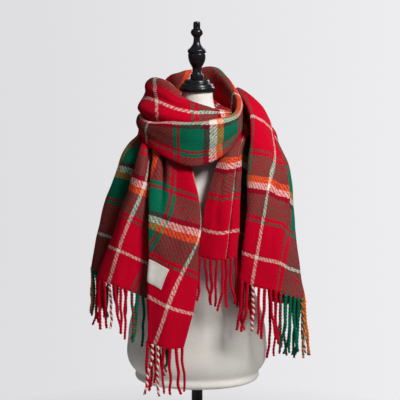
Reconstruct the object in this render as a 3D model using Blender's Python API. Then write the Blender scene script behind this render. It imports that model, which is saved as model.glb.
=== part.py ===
"""Tartan blanket scarf wound once round the neck of a limbless dress form.

Metres, +Z up, the viewer in front looks along +Y and has +X on the right. The origin is the
middle of the round base's underside. The scarf is one long cloth. It is followed from its left
hem, up over the left shoulder, behind the neck, across the front from right to left, behind the
neck again and over the right shoulder down to its right hem. Each stretch is a closed wall whose
sections run across the cloth through the same eleven folds, counted from selvedge to selvedge.
"""
import math

import bpy
from mathutils import Vector

# ---- cloth -------------------------------------------------------------------------------
CLOTH_THICK = 0.0022
SEAM_GAP = 0.0003
SAMPLES_PER_FOLD = 4

# ---- fringe ------------------------------------------------------------------------------
STRANDS = 50
STRAND_LENGTH = 0.118
STRAND_THICK = 0.0042
STRAND_STEPS = 2
STRIP_HEIGHT = 0.0045
STRIP_THICK = 0.0036
LEAN = 0.004

# ---- label -------------------------------------------------------------------------------
LABEL_THICK = 0.0012
LABEL_V = (0.118, 0.175)
LABEL_FOLD = (6.75, 8.25)
LABEL_GAP = 0.0004

# ---- dress form --------------------------------------------------------------------------
FORM_SIDES = 28
NECK_TOP = 1.432
CAP_TILT = math.radians(7.0)
TURNED_SIDES = 18
POLE_RADIUS = 0.014
BASE_RADIUS = 0.185
BASE_HEIGHT = 0.022

# Rings of the form's body: height, half width, front depth, back depth, squareness.
FORM_RINGS = (
    (0.690, 0.060, 0.040, 0.050, 2.0),
    (0.698, 0.118, 0.078, 0.092, 2.2),
    (0.730, 0.160, 0.100, 0.118, 2.2),
    (0.820, 0.176, 0.108, 0.124, 2.2),
    (0.900, 0.158, 0.102, 0.108, 2.2),
    (0.990, 0.122, 0.088, 0.082, 2.1),
    (1.060, 0.130, 0.094, 0.088, 2.1),
    (1.140, 0.150, 0.113, 0.096, 2.2),
    (1.200, 0.160, 0.100, 0.098, 2.3),
    (1.255, 0.170, 0.078, 0.090, 2.3),
    (1.288, 0.166, 0.062, 0.080, 2.2),
    (1.310, 0.148, 0.052, 0.070, 2.1),
    (1.326, 0.122, 0.047, 0.062, 2.0),
    (1.342, 0.092, 0.044, 0.056, 2.0),
    (1.360, 0.0655, 0.0445, 0.051, 2.0),
    (1.380, 0.0505, 0.0435, 0.048, 2.0),
    (1.405, 0.0415, 0.040, 0.042, 2.0),
    (NECK_TOP, 0.0385, 0.038, 0.039, 2.0),
)

# Turned neck cap and finial, from the neck up: height over the neck, radius.
CAP_PROFILE = (
    (0.0000, 0.0385), (0.0015, 0.0425), (0.0060, 0.0445), (0.0105, 0.0440), (0.0120, 0.0410),
    (0.0150, 0.0405), (0.0185, 0.0380), (0.0200, 0.0325), (0.0250, 0.0310), (0.0290, 0.0290),
)
FINIAL_PROFILE = (
    (0.0000, 0.0165), (0.0120, 0.0160), (0.0150, 0.0115), (0.0270, 0.0110), (0.0300, 0.0130),
    (0.0400, 0.0180), (0.0520, 0.0212), (0.0620, 0.0218), (0.0660, 0.0228), (0.0720, 0.0225),
    (0.0760, 0.0170), (0.0820, 0.0120), (0.0880, 0.0085), (0.1020, 0.0082), (0.1070, 0.0130),
    (0.1130, 0.0150), (0.1190, 0.0130), (0.1215, 0.0090), (0.1350, 0.0088), (0.1385, 0.0070),
)

# ---- the loop round the neck -------------------------------------------------------------
# One row a section. turn is degrees from the front, + to the viewer's right, and falls by one
# turn and a half from the left shoulder to the right one. Then radius and height of the band's
# bottom hem, its top fold (brim), the tuck behind it, the cowl's top fold (crest) and the
# inner edge by the neck.
LOOP_ROWS = (
    # turn   hem            brim           tuck           crest          lining
    (262.0, 0.147, 1.334,  0.126, 1.350,  0.108, 1.360,  0.087, 1.382,  0.064, 1.395),
    (248.0, 0.126, 1.340,  0.110, 1.394,  0.093, 1.376,  0.079, 1.402,  0.060, 1.392),
    (232.0, 0.115, 1.354,  0.105, 1.458,  0.091, 1.392,  0.078, 1.424,  0.060, 1.394),
    (205.0, 0.115, 1.365,  0.103, 1.488,  0.089, 1.394,  0.074, 1.426,  0.057, 1.392),
    (180.0, 0.115, 1.372,  0.103, 1.498,  0.089, 1.392,  0.074, 1.424,  0.057, 1.392),
    (155.0, 0.113, 1.372,  0.101, 1.503,  0.088, 1.388,  0.073, 1.418,  0.057, 1.390),
    (130.0, 0.110, 1.362,  0.096, 1.474,  0.084, 1.374,  0.071, 1.404,  0.057, 1.386),
    (100.0, 0.106, 1.354,  0.099, 1.436,  0.087, 1.362,  0.074, 1.394,  0.058, 1.378),
    (65.0,  0.117, 1.340,  0.112, 1.402,  0.100, 1.352,  0.088, 1.388,  0.062, 1.372),
    (45.0,  0.133, 1.314,  0.128, 1.383,  0.115, 1.344,  0.103, 1.388,  0.068, 1.368),
    (25.0,  0.144, 1.282,  0.139, 1.371,  0.125, 1.336,  0.099, 1.394,  0.068, 1.362),
    (0.0,   0.148, 1.258,  0.142, 1.362,  0.127, 1.332,  0.087, 1.410,  0.064, 1.362),
    (-28.0, 0.150, 1.277,  0.142, 1.361,  0.127, 1.332,  0.081, 1.434,  0.060, 1.370),
    (-50.0, 0.153, 1.305,  0.144, 1.362,  0.130, 1.334,  0.085, 1.456,  0.064, 1.384),
    (-75.0, 0.152, 1.338,  0.146, 1.374,  0.132, 1.350,  0.103, 1.465,  0.082, 1.404),
    (-100.0, 0.152, 1.350, 0.149, 1.388,  0.136, 1.362,  0.122, 1.464,  0.110, 1.412),
    (-122.0, 0.160, 1.336, 0.159, 1.390,  0.144, 1.364,  0.137, 1.466,  0.128, 1.404),
    (-150.0, 0.168, 1.310, 0.171, 1.388,  0.150, 1.368,  0.140, 1.468,  0.129, 1.398),
    (-180.0, 0.172, 1.292, 0.175, 1.384,  0.150, 1.384,  0.138, 1.460,  0.127, 1.394),
    (-208.0, 0.178, 1.290, 0.177, 1.384,  0.153, 1.410,  0.133, 1.438,  0.124, 1.384),
    (-232.0, 0.184, 1.290, 0.174, 1.388,  0.152, 1.436,  0.131, 1.408,  0.122, 1.372),
)
FOLD_HALF = 0.0036
FOLD_DROP = 0.006
FOLD_REACH = 0.04
BAND_BELLY = 0.006
COWL_BELLY = 0.010
COWL_RISE = 0.09

BACK_UNDER_TURN = (262.0, 100.0)
BACK_UNDER_STEPS = 8
FRONT_TURN = (100.0, -100.0)
FRONT_STEPS = 13
BACK_OVER_TURN = (-100.0, -232.0)
BACK_OVER_STEPS = 7

# ---- the two hanging ends ----------------------------------------------------------------
# One row a fold, from the selvedge u = 0 to the selvedge u = 0.705. Columns are x, y, z at each
# level of LEFT_LEVELS, which give the distance v along the cloth from the left hem.
LEFT_LEVELS = (0.0, 0.14, 0.30, 0.43, 0.52)
LEFT_STEPS = (2, 3, 3, 3)
LEFT_FOLDS = (
    # hem                      low                      chest                    collar
    ((-0.188,  0.018, 0.975), (-0.174,  0.020, 1.118), (-0.180,  0.022, 1.266), (-0.152,  0.010, 1.324)),
    ((-0.260, -0.058, 1.002), (-0.230, -0.054, 1.142), (-0.187, -0.040, 1.285), (-0.142, -0.020, 1.328)),
    ((-0.206, -0.158, 0.985), (-0.184, -0.152, 1.120), (-0.151, -0.134, 1.268), (-0.124, -0.050, 1.324)),
    ((-0.122, -0.134, 0.945), (-0.118, -0.129, 1.088), (-0.112, -0.108, 1.250), (-0.111, -0.051, 1.314)),
    ((-0.066, -0.124, 0.915), (-0.056, -0.122, 1.058), (-0.050, -0.097, 1.222), (-0.102, -0.058, 1.310)),
    ((-0.068, -0.144, 0.900), (-0.058, -0.140, 1.045), (-0.052, -0.112, 1.210), (-0.098, -0.065, 1.313)),
    ((-0.108, -0.154, 0.858), (-0.107, -0.149, 1.015), (-0.103, -0.130, 1.182), (-0.100, -0.072, 1.318)),
    ((-0.113, -0.170, 0.846), (-0.112, -0.164, 1.008), (-0.109, -0.143, 1.176), (-0.100, -0.080, 1.322)),
    ((-0.078, -0.180, 0.838), (-0.060, -0.176, 0.986), (-0.050, -0.154, 1.158), (-0.062, -0.092, 1.324)),
    ((-0.050, -0.172, 0.833), (-0.020, -0.170, 0.972), (0.008, -0.147, 1.142), (-0.034, -0.097, 1.320)),
    ((-0.031, -0.164, 0.834), (0.000, -0.162, 0.966), (-0.002, -0.134, 1.138), (-0.024, -0.087, 1.316)),
)

# The same for the right end, whose levels are counted from the left hem too.
RIGHT_LEVELS = (1.290, 1.375, 1.465, 1.580, 1.720, 1.857)
RIGHT_STEPS = (3, 3, 3, 3, 2)
RIGHT_FOLDS = (
    # shoulder                collar                   chest                    low                      hem
    ((0.172, 0.098, 1.276), (0.174, 0.070, 1.262), (0.168, 0.030, 1.226), (0.168, -0.028, 1.060), (0.178, -0.046, 0.915)),
    ((0.190, 0.084, 1.302), (0.206, 0.058, 1.270), (0.218, 0.030, 1.222), (0.220, -0.022, 1.050), (0.236, -0.036, 0.905)),
    ((0.192, 0.058, 1.340), (0.207, 0.018, 1.302), (0.232, -0.022, 1.226), (0.241, -0.076, 1.068), (0.262, -0.090, 0.930)),
    ((0.176, 0.032, 1.376), (0.188, -0.024, 1.328), (0.202, -0.084, 1.222), (0.203, -0.132, 1.094), (0.190, -0.146, 0.962)),
    ((0.150, 0.010, 1.408), (0.164, -0.056, 1.342), (0.172, -0.116, 1.234), (0.150, -0.150, 1.114), (0.130, -0.160, 0.980)),
    ((0.121, 0.004, 1.434), (0.1275, -0.054, 1.376), (0.121, -0.118, 1.258), (0.113, -0.144, 1.130), (0.101, -0.152, 0.992)),
    ((0.122, 0.014, 1.402), (0.137, -0.040, 1.342), (0.146, -0.060, 1.272), (0.150, -0.079, 1.134), (0.140, -0.092, 1.006)),
    ((0.122, 0.022, 1.376), (0.129, -0.034, 1.338), (0.108, -0.072, 1.280), (0.101, -0.103, 1.150), (0.103, -0.100, 1.030)),
    ((0.124, 0.026, 1.364), (0.122, -0.034, 1.334), (0.103, -0.104, 1.288), (0.098, -0.136, 1.160), (0.090, -0.141, 1.044)),
    ((0.126, 0.030, 1.354), (0.115, -0.035, 1.331), (0.082, -0.116, 1.288), (0.054, -0.150, 1.160), (0.046, -0.158, 1.040)),
    ((0.128, 0.034, 1.345), (0.108, -0.037, 1.328), (0.060, -0.102, 1.288), (0.020, -0.138, 1.165), (0.003, -0.146, 1.048)),
)


# ---- curves ------------------------------------------------------------------------------
def slopes(knots, values):
    """Tangents of a smooth curve through values at uneven knots."""
    steps = [(values[k + 1] - values[k]) / (knots[k + 1] - knots[k]) for k in range(len(knots) - 1)]
    inner = []
    for k in range(1, len(knots) - 1):
        before = knots[k] - knots[k - 1]
        after = knots[k + 1] - knots[k]
        inner.append((steps[k - 1] * after + steps[k] * before) / (before + after))
    return [steps[0]] + inner + [steps[-1]]


def smooth_at(knots, values, tangents, place):
    """Value of the curve at place, between the knots."""
    k = 0
    while k < len(knots) - 2 and place > knots[k + 1]:
        k += 1
    span = knots[k + 1] - knots[k]
    t = (place - knots[k]) / span
    t2 = t * t
    t3 = t2 * t
    return (values[k] * (2 * t3 - 3 * t2 + 1) + tangents[k] * (span * (t3 - 2 * t2 + t))
            + values[k + 1] * (3 * t2 - 2 * t3) + tangents[k + 1] * (span * (t3 - t2)))


def through(knots, values, place):
    return smooth_at(knots, values, slopes(knots, values), place)


def chord_knots(points):
    knots = [0.0]
    for a, b in zip(points, points[1:]):
        knots.append(knots[-1] + max((b - a).length, 0.001))
    return knots


def across(points, fold):
    """Point at a fold count, which may be a fraction, on the section through the fold points."""
    knots = chord_knots(points)
    k = min(int(fold), len(points) - 2)
    place = knots[k] + (knots[k + 1] - knots[k]) * (fold - k)
    return through(knots, points, place)


def section_samples(points):
    count = (len(points) - 1) * SAMPLES_PER_FOLD
    return [across(points, i / SAMPLES_PER_FOLD) for i in range(count + 1)]


# ---- sections of the scarf ---------------------------------------------------------------
def fold_sides(before, apex, after, drop):
    """The two points beside a fold's apex: across a sharp fold, along a flat one."""
    back = before - apex
    on = after - apex
    near_back = min(1.0, back.length / FOLD_REACH)
    near_on = min(1.0, on.length / FOLD_REACH)
    back.normalize()
    on.normalize()
    over = (on - back).normalized() * FOLD_HALF
    return apex + (back * drop - over) * near_back, apex + (on * drop + over) * near_on


def loop_folds(turn):
    """The eleven fold points of the neck loop at a turn, in degrees."""
    turns = [-row[0] for row in LOOP_ROWS]
    row = [through(turns, [r[c] for r in LOOP_ROWS], -turn) for c in range(1, 11)]
    hem, brim, tuck, crest, lining = [Vector((row[k], row[k + 1])) for k in range(0, 10, 2)]
    rise = max(0.0, min(1.0, (crest.y - tuck.y) / COWL_RISE))
    flat = (
        hem,
        hem.lerp(brim, 0.5) + Vector((BAND_BELLY, 0.0)),
        *fold_sides(hem, brim, tuck, FOLD_DROP),
        brim.lerp(tuck, 0.5),
        *fold_sides(brim, tuck, crest, FOLD_DROP / 2),
        tuck.lerp(crest, 0.5) + Vector((0.7, 0.5)) * (COWL_BELLY * rise),
        *fold_sides(tuck, crest, lining, FOLD_DROP),
        lining,
    )
    angle = math.radians(turn)
    return [Vector((p.x * math.sin(angle), -p.x * math.cos(angle), p.y)) for p in flat]


def left_folds(v):
    top = loop_folds(BACK_UNDER_TURN[0])
    return [through(LEFT_LEVELS, [Vector(p) for p in row] + [end], v) for row, end in zip(LEFT_FOLDS, top)]


def right_folds(v):
    top = loop_folds(BACK_OVER_TURN[1])
    return [through(RIGHT_LEVELS, [start] + [Vector(p) for p in row], v) for row, start in zip(RIGHT_FOLDS, top)]


def levels_between(levels, steps):
    """The levels, with each span between neighbours cut into its own number of steps."""
    places = [levels[0]]
    for low, high, count in zip(levels, levels[1:], steps):
        places += [low + (high - low) * (k + 1) / count for k in range(count)]
    return places


def evenly(first, last, steps):
    return [first + (last - first) * k / steps for k in range(steps + 1)]


# ---- meshes ------------------------------------------------------------------------------
def material(name, colour, roughness, sheen=0.0):
    mat = bpy.data.materials.new(name)
    mat.use_nodes = True
    shader = mat.node_tree.nodes["Principled BSDF"]
    shader.inputs["Base Color"].default_value = (*colour, 1.0)
    shader.inputs["Roughness"].default_value = roughness
    shader.inputs["Sheen Weight"].default_value = sheen
    return mat


def solid(name, points, faces, mat):
    mesh = bpy.data.meshes.new(name)
    mesh.from_pydata([tuple(p) for p in points], [], faces)
    mesh.update()
    mesh.shade_smooth()
    mesh.set_sharp_from_angle(angle=math.radians(50))
    mesh.materials.append(mat)
    obj = bpy.data.objects.new(name, mesh)
    bpy.context.scene.collection.objects.link(obj)
    return obj


def grid_normals(grid, before=None, after=None):
    """Unit normals of a grid of points, rows along the cloth and columns across it.

    before and after are the neighbouring stretches' rows next to this grid, where it has any.
    """
    cols = len(grid[0])
    rows = ([before] if before else [grid[0]]) + grid + ([after] if after else [grid[-1]])
    normals = []
    for j in range(1, len(rows) - 1):
        line = []
        for i in range(cols):
            along = rows[j + 1][i] - rows[j - 1][i]
            over = rows[j][min(i + 1, cols - 1)] - rows[j][max(i - 1, 0)]
            line.append(over.cross(along).normalized())
        normals.append(line)
    return normals


def halves(points, a, b, c, d):
    """The four corners' two triangles, cut along the shorter diagonal."""
    if (points[a] - points[c]).length <= (points[b] - points[d]).length:
        return (a, b, c), (a, c, d)
    return (a, b, d), (b, c, d)


def wall(name, grid, inner, outer, mat, before=None, after=None):
    """Closed wall round a grid, from the inner to the outer offset along its normals.

    An end that meets another stretch stands half a seam gap back from it.
    """
    rows = len(grid)
    cols = len(grid[0])
    normals = grid_normals(grid, before, after)
    grid = [list(row) for row in grid]
    if before:
        grid[0] = [p + (q - r).normalized() * SEAM_GAP / 2 for p, q, r in zip(grid[0], grid[1], before)]
    if after:
        grid[-1] = [p + (q - r).normalized() * SEAM_GAP / 2 for p, q, r in zip(grid[-1], grid[-2], after)]
    points = []
    for offset in (outer, inner):
        points += [grid[j][i] + normals[j][i] * offset for j in range(rows) for i in range(cols)]
    back = rows * cols

    def at(j, i):
        return j * cols + i

    faces = []
    for j in range(rows - 1):
        for i in range(cols - 1):
            for p, q, r in halves(points, at(j, i), at(j, i + 1), at(j + 1, i + 1), at(j + 1, i)):
                faces.append((p, q, r))
                faces.append((back + r, back + q, back + p))
    rim = [at(0, i) for i in range(cols)] + [at(j, cols - 1) for j in range(1, rows)]
    rim += [at(rows - 1, i) for i in range(cols - 2, -1, -1)] + [at(j, 0) for j in range(rows - 2, 0, -1)]
    for a, b in zip(rim, rim[1:] + rim[:1]):
        faces.extend(halves(points, b, a, back + a, back + b))
    return solid(name, points, faces, mat)


def turned(name, profile, sides, mat, foot=Vector((0.0, 0.0, 0.0)), tilt=0.0):
    """Solid of revolution about +Z at foot, closed at both ends, leaning forward by tilt."""
    points = []
    for height, radius in profile:
        for k in range(sides):
            angle = 2 * math.pi * k / sides
            x = radius * math.cos(angle)
            y = radius * math.sin(angle)
            leaned = Vector((x, y * math.cos(tilt) - height * math.sin(tilt),
                             height * math.cos(tilt) + y * math.sin(tilt)))
            points.append(foot + leaned)
    return solid(name, points, ring_faces(len(profile), sides), mat)


def ring_faces(rings, sides):
    faces = [tuple(range(sides - 1, -1, -1))]
    for r in range(rings - 1):
        for k in range(sides):
            n = (k + 1) % sides
            faces.append((r * sides + k, r * sides + n, (r + 1) * sides + n, (r + 1) * sides + k))
    faces.append(tuple((rings - 1) * sides + k for k in range(sides)))
    return faces


# ---- the scarf's pieces ------------------------------------------------------------------
def hem_path(folds):
    """Even places along the hem, in fold counts, two for each strand and gap."""
    fine = 40
    marks = [k / fine for k in range((len(folds) - 1) * fine + 1)]
    line = [across(folds, m) for m in marks]
    lengths = [0.0]
    for a, b in zip(line, line[1:]):
        lengths.append(lengths[-1] + (b - a).length)
    wanted = 2 * STRANDS
    path = []
    k = 0
    for n in range(wanted + 1):
        target = lengths[-1] * n / wanted
        while k < len(lengths) - 2 and lengths[k + 1] < target:
            k += 1
        share = (target - lengths[k]) / (lengths[k + 1] - lengths[k])
        path.append(line[k].lerp(line[k + 1], share))
    return path


def fringe(name, folds, mat):
    """Backing strip just under the hem, whose lower faces run down into the strands."""
    path = hem_path(folds)
    down = Vector((0.0, 0.0, -1.0))
    count = len(path)
    points = []
    for n, p in enumerate(path):
        along = path[min(n + 1, count - 1)] - path[max(n - 1, 0)]
        side = Vector((along.y, -along.x, 0.0)).normalized() * (STRIP_THICK / 2)
        top = p + down * (CLOTH_THICK / 2 + SEAM_GAP)
        low = top + down * STRIP_HEIGHT
        points += [top + side, top - side, low - side, low + side]
    faces = [(0, 1, 2, 3)]
    for n in range(count - 1):
        a = 4 * n
        b = a + 4
        faces += [(a, b, b + 1, a + 1), (a + 1, b + 1, b + 2, a + 2), (a + 3, b + 3, b, a)]
        root = (a + 2, b + 2, b + 3, a + 3)
        if n % 2 == 0:
            add_strand(points, faces, root, n // 2)
        else:
            faces.append(root)
    last = 4 * (count - 1)
    faces.append((last + 3, last + 2, last + 1, last))
    return solid(name, points, faces, mat)


def add_strand(points, faces, root, number):
    """Four-sided strand drawn down from a root face, with its own lean and length."""
    corners = [points[k] for k in root]
    centre = sum(corners, Vector()) / 4
    lean = Vector((LEAN * math.sin(0.8 * number + 0.7), LEAN * 0.5 * math.sin(0.5 * number), 0.0))
    length = STRAND_LENGTH * (1.0 + 0.05 * math.sin(1.7 * number))
    width = (corners[1] - corners[0]).normalized()
    depth = (corners[3] - corners[0]).normalized()
    ring = list(root)
    for step in range(1, STRAND_STEPS + 1):
        share = step / STRAND_STEPS
        middle = centre + Vector((0.0, 0.0, -length * share)) + lean * (share * share)
        half = STRAND_THICK / 2 * (1.0 - 0.15 * share)
        start = len(points)
        for a, b in ((-1, -1), (1, -1), (1, 1), (-1, 1)):
            points.append(middle + width * (half * a) + depth * (half * b))
        below = [start, start + 1, start + 2, start + 3]
        for k in range(4):
            m = (k + 1) % 4
            faces.append((ring[k], ring[m], below[m], below[k]))
        ring = below
    faces.append(tuple(ring))


def scarf():
    cloth = material("tartan_wool", (0.45, 0.01, 0.03), 0.9, 0.5)
    half = CLOTH_THICK / 2
    stretches = (
        ("left_end", [section_samples(left_folds(v)) for v in levels_between(LEFT_LEVELS, LEFT_STEPS)]),
        ("back_under", [section_samples(loop_folds(t)) for t in evenly(*BACK_UNDER_TURN, BACK_UNDER_STEPS)]),
        ("front_wrap", [section_samples(loop_folds(t)) for t in evenly(*FRONT_TURN, FRONT_STEPS)]),
        ("back_over", [section_samples(loop_folds(t)) for t in evenly(*BACK_OVER_TURN, BACK_OVER_STEPS)]),
        ("right_end", [section_samples(right_folds(v)) for v in levels_between(RIGHT_LEVELS, RIGHT_STEPS)]),
    )
    for k, (name, grid) in enumerate(stretches):
        before = stretches[k - 1][1][-2] if k > 0 else None
        after = stretches[k + 1][1][1] if k + 1 < len(stretches) else None
        wall(name, grid, -half, half, cloth, before, after)
    fringe_wool = material("fringe_wool", (0.42, 0.01, 0.03), 0.92, 0.4)
    fringe("left_fringe", left_folds(LEFT_LEVELS[0]), fringe_wool)
    fringe("right_fringe", right_folds(RIGHT_LEVELS[-1]), fringe_wool)
    label(levels_between(LEFT_LEVELS, LEFT_STEPS), stretches[0][1])


def row_between(levels, grid, level):
    """Row of points at a level, straight between the two rows of the grid next to it."""
    k = 0
    while k < len(levels) - 2 and level > levels[k + 1]:
        k += 1
    share = (level - levels[k]) / (levels[k + 1] - levels[k])
    return [p.lerp(q, share) for p, q in zip(grid[k], grid[k + 1])]


def label(levels, grid):
    """Woven label on the left end's front panel, made from the panel's points, moved out.

    It wraps the panel's left fold.
    """
    woven = material("label_cotton", (0.85, 0.83, 0.78), 0.8)
    first, last = [round(fold * SAMPLES_PER_FOLD) for fold in LABEL_FOLD]
    low, high = LABEL_V
    places = [low] + [level for level in levels if low < level < high] + [high]
    patch = [row_between(levels, grid, place)[first:last + 1] for place in places]
    lift = CLOTH_THICK / 2 + LABEL_GAP
    wall("label", patch, lift, lift + LABEL_THICK, woven)


# ---- the dress form's pieces -------------------------------------------------------------
def dress_form():
    linen = material("form_linen", (0.80, 0.77, 0.70), 0.85)
    black = material("black_lacquer", (0.012, 0.011, 0.011), 0.2)
    points = []
    for height, wide, front, back, square in FORM_RINGS:
        for k in range(FORM_SIDES):
            angle = 2 * math.pi * k / FORM_SIDES
            c = math.cos(angle)
            s = math.sin(angle)
            depth = back if s > 0 else front
            x = wide * math.copysign(abs(c) ** (2 / square), c)
            y = depth * math.copysign(abs(s) ** (2 / square), s)
            lean = y * math.tan(CAP_TILT) if height == NECK_TOP else 0.0
            points.append(Vector((x, y, height + lean)))
    solid("torso", points, ring_faces(len(FORM_RINGS), FORM_SIDES), linen)
    neck_top = Vector((0.0, 0.0, NECK_TOP))
    axis = Vector((0.0, -math.sin(CAP_TILT), math.cos(CAP_TILT)))
    turned("neck_cap", CAP_PROFILE, TURNED_SIDES, black, neck_top + axis * SEAM_GAP, CAP_TILT)
    finial_foot = neck_top + axis * (CAP_PROFILE[-1][0] + 2 * SEAM_GAP)
    turned("finial", FINIAL_PROFILE, TURNED_SIDES, black, finial_foot, CAP_TILT)
    pole_top = FORM_RINGS[0][0] - SEAM_GAP
    pole = ((BASE_HEIGHT + SEAM_GAP, POLE_RADIUS), (pole_top, POLE_RADIUS))
    turned("pole", pole, 12, black)
    base = (
        (0.0, BASE_RADIUS), (0.006, BASE_RADIUS), (0.012, BASE_RADIUS * 0.96),
        (0.016, BASE_RADIUS * 0.5), (BASE_HEIGHT, 0.030),
    )
    turned("base", base, 28, black)


def main():
    for obj in list(bpy.data.objects):
        bpy.data.objects.remove(obj)
    dress_form()
    scarf()


main()
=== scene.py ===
"""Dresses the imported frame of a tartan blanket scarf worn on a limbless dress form.

The scarf is one long strip of brushed wool twill, worked out from the same folds as the solids. u
runs across the cloth from selvedge to selvedge and v along it from the left hem, both in metres,
and the tartan, the twill and the creases are all placed in u and v. The tables are in millimetres.
"""

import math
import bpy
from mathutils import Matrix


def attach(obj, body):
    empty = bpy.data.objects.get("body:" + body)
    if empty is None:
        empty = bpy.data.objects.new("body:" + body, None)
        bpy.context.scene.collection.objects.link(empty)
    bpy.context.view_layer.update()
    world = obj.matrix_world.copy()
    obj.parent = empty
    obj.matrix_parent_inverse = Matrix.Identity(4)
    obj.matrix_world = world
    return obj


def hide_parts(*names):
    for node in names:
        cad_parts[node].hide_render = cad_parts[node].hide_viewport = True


bl_info = {
    "name": "Tartan blanket scarf",
    "version": (1, 0, 0),
    "blender": (4, 5, 0),
    "location": "3D View > Sidebar > Scarf",
    "description": "Builds the scarf, its fringe and label, the dress form and the stage",
    "category": "Add Mesh",
}

import bpy
import numpy as np
from mathutils import Vector

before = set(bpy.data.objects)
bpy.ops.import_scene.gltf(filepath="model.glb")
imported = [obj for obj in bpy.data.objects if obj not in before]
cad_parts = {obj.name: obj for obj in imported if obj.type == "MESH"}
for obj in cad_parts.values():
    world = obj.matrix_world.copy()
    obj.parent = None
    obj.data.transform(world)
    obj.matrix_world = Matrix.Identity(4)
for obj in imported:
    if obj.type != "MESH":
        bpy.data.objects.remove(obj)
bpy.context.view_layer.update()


def metres(rows, first, last=None):
    """A table as an array, its columns from first up to last turned from millimetres to metres."""
    table = np.array(rows, float)
    table[:, first:last] /= 1000
    return table


CLOTH_NODES = ("left_end", "back_under", "front_wrap", "back_over", "right_end")

# ---- folds of the neck loop ----------------------------------------------------------------
# turn is degrees from the front, + to the viewer's right. Then radius and height of the band's
# hem, its top fold (brim), the tuck behind it, the cowl's top fold (crest) and the inner edge.
LOOP_ROWS = metres((
    # turn hem         brim        tuck        crest       lining
    (262,  147, 1334,  126, 1350,  108, 1360,   87, 1382,   64, 1395),
    (248,  126, 1340,  110, 1394,   93, 1376,   79, 1402,   60, 1392),
    (232,  115, 1354,  105, 1458,   91, 1392,   78, 1424,   60, 1394),
    (205,  115, 1365,  103, 1488,   89, 1394,   74, 1426,   57, 1392),
    (180,  115, 1372,  103, 1498,   89, 1392,   74, 1424,   57, 1392),
    (155,  113, 1372,  101, 1503,   88, 1388,   73, 1418,   57, 1390),
    (130,  110, 1362,   96, 1474,   84, 1374,   71, 1404,   57, 1386),
    (100,  106, 1354,   99, 1436,   87, 1362,   74, 1394,   58, 1378),
    (65,   117, 1340,  112, 1402,  100, 1352,   88, 1388,   62, 1372),
    (45,   133, 1314,  128, 1383,  115, 1344,  103, 1388,   68, 1368),
    (25,   144, 1282,  139, 1371,  125, 1336,   99, 1394,   68, 1362),
    (0,    148, 1258,  142, 1362,  127, 1332,   87, 1408,   64, 1362),
    (-28,  150, 1277,  142, 1361,  127, 1332,   81, 1423,   60, 1370),
    (-50,  152, 1305,  142, 1362,  128, 1334,   85, 1453,   64, 1384),
    (-75,  147, 1338,  141, 1372,  127, 1350,  103, 1469,   82, 1404),
    (-100, 146, 1350,  142, 1384,  129, 1362,  120, 1467,  108, 1412),
    (-122, 154, 1336,  152, 1388,  138, 1364,  134, 1468,  125, 1404),
    (-150, 166, 1310,  167, 1388,  148, 1368,  139, 1468,  128, 1398),
    (-180, 172, 1292,  175, 1384,  150, 1384,  138, 1460,  127, 1394),
    (-208, 178, 1290,  177, 1384,  153, 1410,  133, 1438,  124, 1384),
    (-232, 184, 1290,  174, 1388,  152, 1436,  131, 1408,  122, 1372),
), 1)
# Where the cowl rolls over the band on the left: radius and height of the roll and of the
# crease above it, and how much of them there is at each turn.
ROLL_ROWS = metres((
    (60,   100, 1372,   94, 1382,    0),
    (25,   117, 1366,  109, 1382,  0.5),
    (0,    125, 1360,  108, 1381,    1),
    (-28,  130, 1368,  109, 1391,    1),
    (-50,  138, 1380,  115, 1407,    1),
    (-75,  146, 1389,  125, 1421,    1),
    (-100, 147, 1394,  131, 1429,    1),
    (-122, 150, 1398,  141, 1432,  0.8),
    (-150, 152, 1423,  147, 1446,    0),
), 1, 5)
FOLD_HALF = 0.0026          # half the width of the turn at a fold
FOLD_DROP = 0.006           # how far from a fold its two sides start
FOLD_REACH = 0.04           # beside shorter stretches the turn is smaller
BAND_BELLY = 0.006          # how far the band and the cowl bulge between their folds
COWL_BELLY = 0.010
COWL_RISE = 0.09            # a cowl as high as this bulges fully
BELLY_WAY = np.array((0.7, 0.5))    # which way it bulges, as radius and height

# v on the band, on the cowl's roll and on its crest at a turn, and how much of the last two each
# place across the loop has.
LOOP_V = metres((
    (262, 460, 600, 600), (232, 492, 620, 620), (197, 566, 670, 670), (168, 614, 705, 705),
    (100, 760, 815, 815), (44, 870, 922, 922), (17, 938, 981, 981), (0, 976, 1020, 1018),
    (-22, 1034, 1060, 1047), (-44, 1090, 1112, 1074), (-52, 1112, 1128, 1084),
    (-76, 1172, 1166, 1114), (-100, 1232, 1210, 1158), (-150, 1374, 1324, 1280),
    (-180, 1466, 1397, 1372), (-208, 1553, 1463, 1453), (-232, 1628, 1540, 1540),
), 1)
ROLL_SHARE = np.array((0, 0, 0, 0.1, 0.4, 0.7, 0.9, 1, 0.5, 0, 0, 0))
CREST_SHARE = np.array((0, 0, 0, 0, 0, 0, 0, 0, 0.5, 1, 1, 1))

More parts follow.
